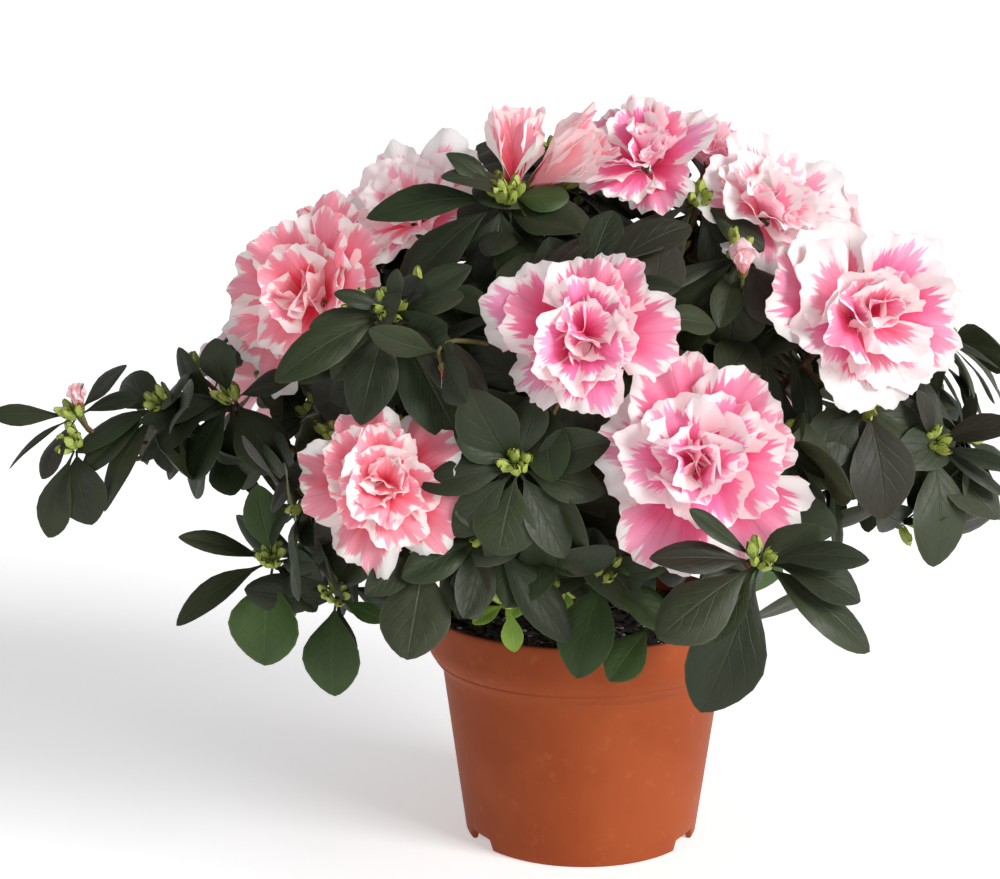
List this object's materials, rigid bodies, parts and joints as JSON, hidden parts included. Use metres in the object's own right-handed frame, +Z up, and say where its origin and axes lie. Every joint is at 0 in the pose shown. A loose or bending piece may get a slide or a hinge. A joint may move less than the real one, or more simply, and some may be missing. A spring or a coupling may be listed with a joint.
{
  "type": "potted azalea shrub",
  "caption": "Low, spreading evergreen azalea with dark oval leaves and ruffled double pink-and-white blooms, in a round terracotta-coloured plastic nursery pot.",
  "frame": {"origin": "centre of the pot's flat underside", "axes": "+Z up along the pot's axis, -Y towards the front of the crown, +X to the right seen from the front"},
  "size_m": [0.4151, 0.2903, 0.3068],
  "materials": {
    "pot_plastic": "matte",
    "potting_soil": "matte",
    "bark": "matte",
    "leaf": "satin",
    "young_leaf": "satin",
    "petal": "satin"
  },
  "bodies": {
    "root": {"bough_to_back_centre": "bark", "bough_to_back_low_left": "bark", "bough_to_back_low_right": "bark", "bough_to_front_centre": "bark", "bough_to_front_low_left": "bark", "bough_to_front_low_right": "bark", "bough_to_left_high": "bark", "bough_to_left_middle": "bark", "bough_to_right_high": "bark", "bough_to_right_low": "bark", "bough_to_top_back": "bark", "foliage_back_centre": "leaf", "foliage_back_left": "leaf", "foliage_back_low_left": "leaf", "foliage_back_low_right": "leaf", "foliage_back_right": "leaf", "foliage_far_left": "leaf", "foliage_front_centre": "leaf", "foliage_front_left": "leaf", "foliage_front_low_left": "leaf", "foliage_front_low_middle": "leaf", "foliage_front_low_right": "leaf", "foliage_front_right_skirt": "leaf", "foliage_left_back": "leaf", "foliage_left_high": "leaf", "foliage_left_low": "leaf", "foliage_left_middle": "leaf", "foliage_right_back": "leaf", "foliage_right_high": "leaf", "foliage_right_low": "leaf", "foliage_top_back": "leaf", "foliage_top_front": "leaf", "foliage_top_right": "leaf", "pot": "pot_plastic", "soil": "potting_soil", "stem": "bark"}
  },
  "joints": []
}
